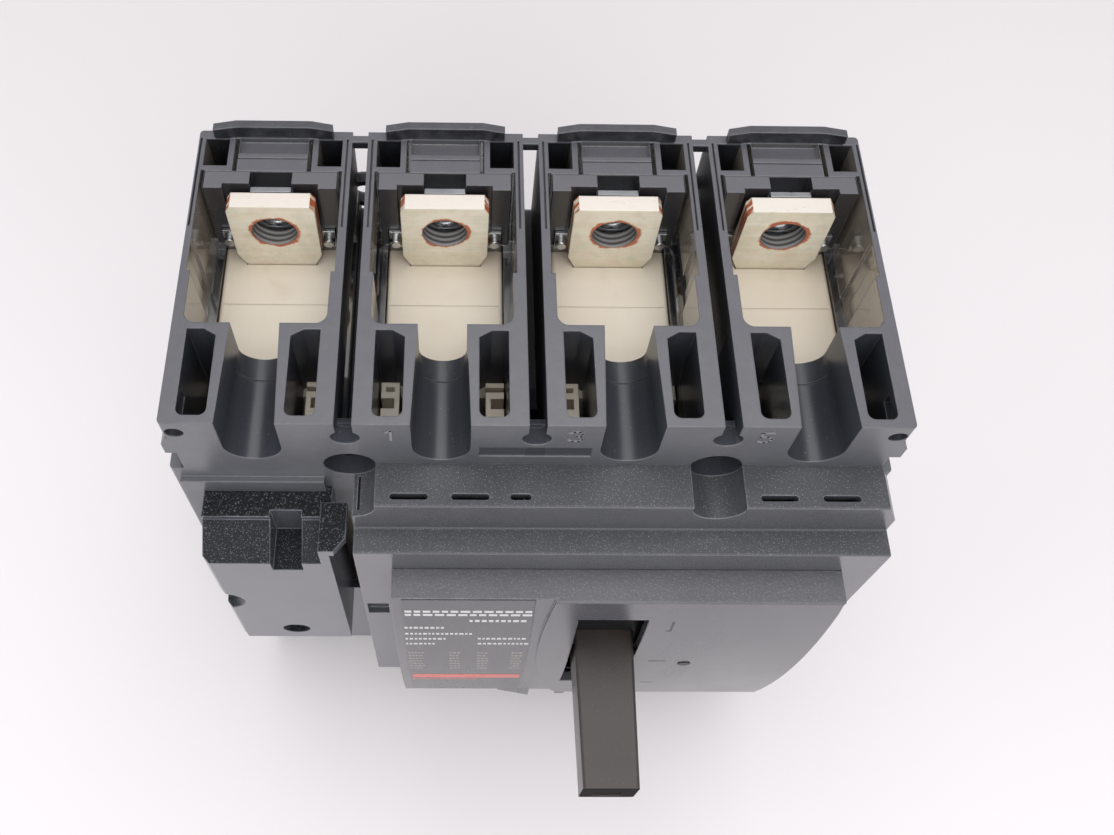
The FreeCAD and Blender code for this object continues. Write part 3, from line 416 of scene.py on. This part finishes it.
BY_PREFIX = [
    ("base_case", "case"), ("middle_cover", "cover"), ("neutral_", "neutral"), ("trip_unit", "cover"),
    ("front_cover", "face"), ("rating_plate", "film"), ("pole_cassette", "ivory"),
    ("line_terminal", "terminal"), ("load_terminal", "terminal"), ("line_nut_carrier", "carrier"),
    ("load_nut_carrier", "carrier"), ("trip_bar_bearings", "steel"), ("trip_bar", "carrier"),
    ("trip_button", "shield"), ("rotor_", "rotor"), ("toggle_yoke", "steel"), ("toggle_shield", "shield"),
    ("toggle", "toggle"),
    ("dial_", "dial"), ("moving_contact", "copper"), ("contact_tips", "silver"), ("clamp_", "zinc"),
    ("captive_nuts", "steel"), ("bimetals", "bimetal"), ("arc_plates", "steel"), ("link_rods", "steel"),
    ("side_plate", "steel"), ("mechanism_pins", "steel"), ("main_springs", "steel"), ("case_screws", "steel"),
]

for node_name, thing in frame["nodes"].items():
    key = next(material for prefix, material in BY_PREFIX if node_name.startswith(prefix))
    thing.data.materials.clear()
    thing.data.materials.append(MATERIALS[key])


# ---------------------------------------------------------------- printed and moulded marks, threads

PRINT = 0.03
RELIEF = 0.2
INKS = {
    "white": ink_material("white_ink", rgb(206, 204, 205)),
    "faint": ink_material("faint_ink", rgb(148, 141, 139)),
    "red": ink_material("red_ink", rgb(206, 116, 108)),
    "dark": ink_material("dark_ink", rgb(62, 61, 64)),
    # Painted highlight: the moulded numerals are painted lighter than the case, for the light on their edges.
    "relief": ink_material("numeral_relief_painted_highlight", rgb(128, 129, 134)),
}


def add_piece(name, vertices, faces, slot, material):
    mesh = bpy.data.meshes.new(name)
    mesh.from_pydata([Vector(v) * MM for v in vertices], [], faces)
    mesh.materials.append(material)
    mesh.update()
    thing = bpy.data.objects.new(name, mesh)
    bpy.context.scene.collection.objects.link(thing)
    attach(thing, "case")


def raised(shapes, surface, height):
    """Flat shapes raised out of a face that looks along -Y; surface gives the face's y for a z."""
    vertices, faces = [], []
    for corners in shapes:
        start, count = len(vertices), len(corners)
        vertices += [(x, surface(z) + 0.02, z) for x, z in corners]
        vertices += [(x, surface(z) - height, z) for x, z in corners]
        faces.append([start + count + i for i in range(count)])
        for i in range(count):
            after = (i + 1) % count
            faces.append([start + i, start + after, start + count + after, start + count + i])
    return vertices, faces


def strokes(points, width):
    """One short box per step of a line, as lists of corners."""
    shapes = []
    for (x0, z0), (x1, z1) in zip(points, points[1:]):
        length = math.hypot(x1 - x0, z1 - z0)
        ex, ez = (x1 - x0) / length * width / 2, (z1 - z0) / length * width / 2
        shapes.append([
            (x0 - ex - ez, z0 - ez + ex), (x0 - ex + ez, z0 - ez - ex),
            (x1 + ex + ez, z1 + ez - ex), (x1 + ex - ez, z1 + ez + ex),
        ])
    return shapes


def rectangle(x0, x1, z0, z1):
    return [(x0, z0), (x1, z0), (x1, z1), (x0, z1)]


def face_y(z):
    """Front of the front cover at height z."""
    top, crown, bottom = (43.0, -86.8), (1.75, -88.7), (-39.5, -85.6)
    total = 0.0
    for first, second, third in ((top, crown, bottom), (crown, top, bottom), (bottom, top, crown)):
        weight = (z - second[0]) * (z - third[0]) / ((first[0] - second[0]) * (first[0] - third[0]))
        total += weight * first[1]
    return total


def plate_y(z):
    """Front of the rating plate at height z."""
    return face_y(z) + 0.48


def print_row(chance, x0, x1, z, tall, widths=(0.5, 1.3), gap=0.4):
    """A row of plain dashes that stands for a line of small print."""
    shapes, x = [], x0
    while x < x1 - widths[0]:
        wide = min(chance.uniform(*widths), x1 - x)
        shapes.append(rectangle(x, x + wide, z - tall / 2, z + tall / 2))
        x += wide + gap
    return shapes


def rating_marks():
    chance = random.Random(4)
    white = print_row(chance, -24.9, 1.0, 37.0, 1.0, (1.2, 2.0), 0.5)
    white += print_row(chance, -24.9, 1.0, 35.2, 1.0, (1.2, 2.0), 0.5)
    white += print_row(chance, -11.8, 0.7, 31.9, 1.1, (0.6, 1.2), 0.45)
    rows = ((-25.2, -16.8, 27.7), (-25.2, -11.2, 23.9), (-25.2, -16.2, 20.5), (-25.2, -19.0, 17.0),
            (-9.9, 1.0, 20.7), (-9.9, 1.0, 17.15))
    for x0, x1, z in rows:
        white += print_row(chance, x0, x1, z, 1.0, (0.4, 0.9), 0.35)
    faint = []
    for centre, half in ((-23.3, 1.7), (-14.8, 1.2), (-8.6, 1.2), (-1.1, 1.2)):
        for i in range(7):
            row_z = 10.0 - 2.4 * i
            faint += print_row(chance, centre - half, centre + half, row_z, 1.2, (0.4, 0.8), 0.25)
    red = [rectangle(-24.7, 0.5, -16.2, -11.8)]
    red += print_row(chance, -25.0, -9.0, -18.2, 0.9)
    prints = (
        ("rating_print", white, "white"), ("rating_columns", faint, "faint"), ("rating_band", red, "red"),
    )
    for name, shapes, ink in prints:
        add_piece(name, *raised(shapes, plate_y, PRINT), "rating_film", INKS[ink])


def position_marks():
    """Plain marks beside the handle for its three positions."""
    shapes = strokes([(29.9, 32.6), (29.9, 27.6), (29.2, 27.6)], 0.5)
    shapes += strokes([(28.6, 5.2), (32.0, 5.2)], 0.5)
    shapes += strokes([(30.2, -19.3), (32.7, -19.3)], 0.4)
    add_piece("position_marks", *raised(shapes, face_y, PRINT), "face_charcoal", INKS["dark"])


def pole_numerals():
    """Moulded 1, 3 and 5 in front of their poles."""
    numerals = {
        -26.7: [[(-0.7, 1.3), (0.1, 2.0), (0.1, -2.0)]],
        7.0: [[(-1.1, 1.5), (-0.4, 2.0), (0.6, 2.0), (1.1, 1.3), (0.9, 0.5), (0.1, 0.1)],
              [(0.1, 0.1), (1.0, -0.3), (1.2, -1.2), (0.6, -2.0), (-0.5, -2.0), (-1.2, -1.4)]],
        41.6: [[(1.0, 2.0), (-0.8, 2.0), (-1.0, 0.2), (0.3, 0.4)],
               [(0.3, 0.4), (1.1, -0.4), (0.9, -1.6), (0.0, -2.0), (-1.1, -1.6)]],
    }
    shapes = []
    for x, lines in numerals.items():
        for line in lines:
            shapes += strokes([(x + dx, 76.2 + dz) for dx, dz in line], 0.5)
    add_piece("pole_numerals", *raised(shapes, lambda z: -66.0, RELIEF), "case_black", INKS["relief"])


def nut_threads():
    """Helical thread ridges in the eight captive nuts."""
    turns, steps = 2.6, 36
    vertices, faces = [], []
    for end in (1, -1):
        for px in POLES.values():
            start, count = len(vertices), int(turns * steps)
            for i in range(count + 1):
                angle = 2 * math.pi * i / steps
                y = -14.1 + THREAD_PITCH * i / steps
                for radius, shift in ((3.45, -0.34), (3.45, 0.34), (3.08, 0.06), (3.08, -0.06)):
                    x, z = px + radius * math.cos(angle), end * TERMINAL_Z + radius * math.sin(angle)
                    vertices.append((x, y + shift, z))
            for i in range(count):
                for j in range(4):
                    a, b = start + 4 * i + j, start + 4 * i + (j + 1) % 4
                    faces.append([a, b, b + 4, a + 4])
    add_piece("nut_threads", vertices, faces, "zinc_steel", MATERIALS["zinc"])


rating_marks()
position_marks()
pole_numerals()
nut_threads()


# ---------------------------------------------------------------- floor, light and camera

def floor():
    size, z = 3.0, FLOOR_Z * MM
    mesh = bpy.data.meshes.new("floor")
    corners = [(-size, -size, z), (size, -size, z), (size, size, z), (-size, size, z)]
    mesh.from_pydata(corners, [], [(0, 1, 2, 3)])
    thing = bpy.data.objects.new("floor", mesh)
    bpy.context.scene.collection.objects.link(thing)
    g = Graph("pale_floor")
    # Painted light falloff: the floor is painted darker towards the back.
    near = g.math("ADD", g.axes()[1], g.math("MULTIPLY", g.noise(2.0, 2.0), 0.05))
    shade = g.mix(g.ramp(near, -0.25, 0.30), rgb(243, 239, 242), rgb(225, 221, 222))
    mesh.materials.append(g.finish(shade, 0.6, specular=0.3))


def area_light(name, place, target, size, watts, colour=(1, 1, 1)):
    data = bpy.data.lights.new(name, "AREA")
    data.shape = "RECTANGLE"
    data.size, data.size_y = size
    data.energy = watts
    data.color = colour
    thing = bpy.data.objects.new(name, data)
    bpy.context.scene.collection.objects.link(thing)
    thing.location = place
    thing.rotation_euler = (Vector(target) - Vector(place)).to_track_quat("-Z", "Y").to_euler()


def world():
    w = bpy.data.worlds.new("studio")
    w.use_nodes = True
    background = w.node_tree.nodes["Background"]
    background.inputs["Color"].default_value = (0.97, 0.96, 0.97, 1.0)
    background.inputs["Strength"].default_value = 0.60
    bpy.context.scene.world = w


def camera():
    """High three-quarter view from the front, as a shifted lens."""
    turn = (2.60486, 0.00501, 0.02399)
    place = Vector((-13.98, -154.06, 272.16)) * MM
    width, height, focal, centre_x, centre_y = 1114.0, 835.0, 1179.04, 480.475, 300.0
    axis = Vector(turn)
    to_camera = Matrix.Rotation(axis.length, 3, axis.normalized())
    right, down, ahead = to_camera[0], to_camera[1], to_camera[2]
    data = bpy.data.cameras.new("camera")
    thing = bpy.data.objects.new("camera", data)
    bpy.context.scene.collection.objects.link(thing)
    rows = Matrix((right, -down, -ahead)).transposed()
    thing.matrix_world = Matrix.Translation(place) @ rows.to_4x4()
    data.sensor_width = 36.0
    data.sensor_fit = "HORIZONTAL"
    data.lens = data.sensor_width * focal / width
    data.shift_x = (width / 2 - centre_x) / width
    data.shift_y = (centre_y - height / 2) / width
    data.clip_start, data.clip_end = 0.01, 20.0
    bpy.context.scene.camera = thing


floor()
area_light("overhead", (0.10, 0.0, 1.4), (0, -0.03, 0), (1.3, 1.0), 8.0)
area_light("front", (0.1, -1.1, 0.9), (0, -0.08, -0.03), (1.4, 0.9), 9.5)
area_light("window", (-1.1, -0.3, 0.9), (0, -0.03, 0), (0.9, 0.9), 2.5, (0.96, 0.98, 1.0))
world()
camera()
bpy.context.scene.view_settings.view_transform = "Standard"
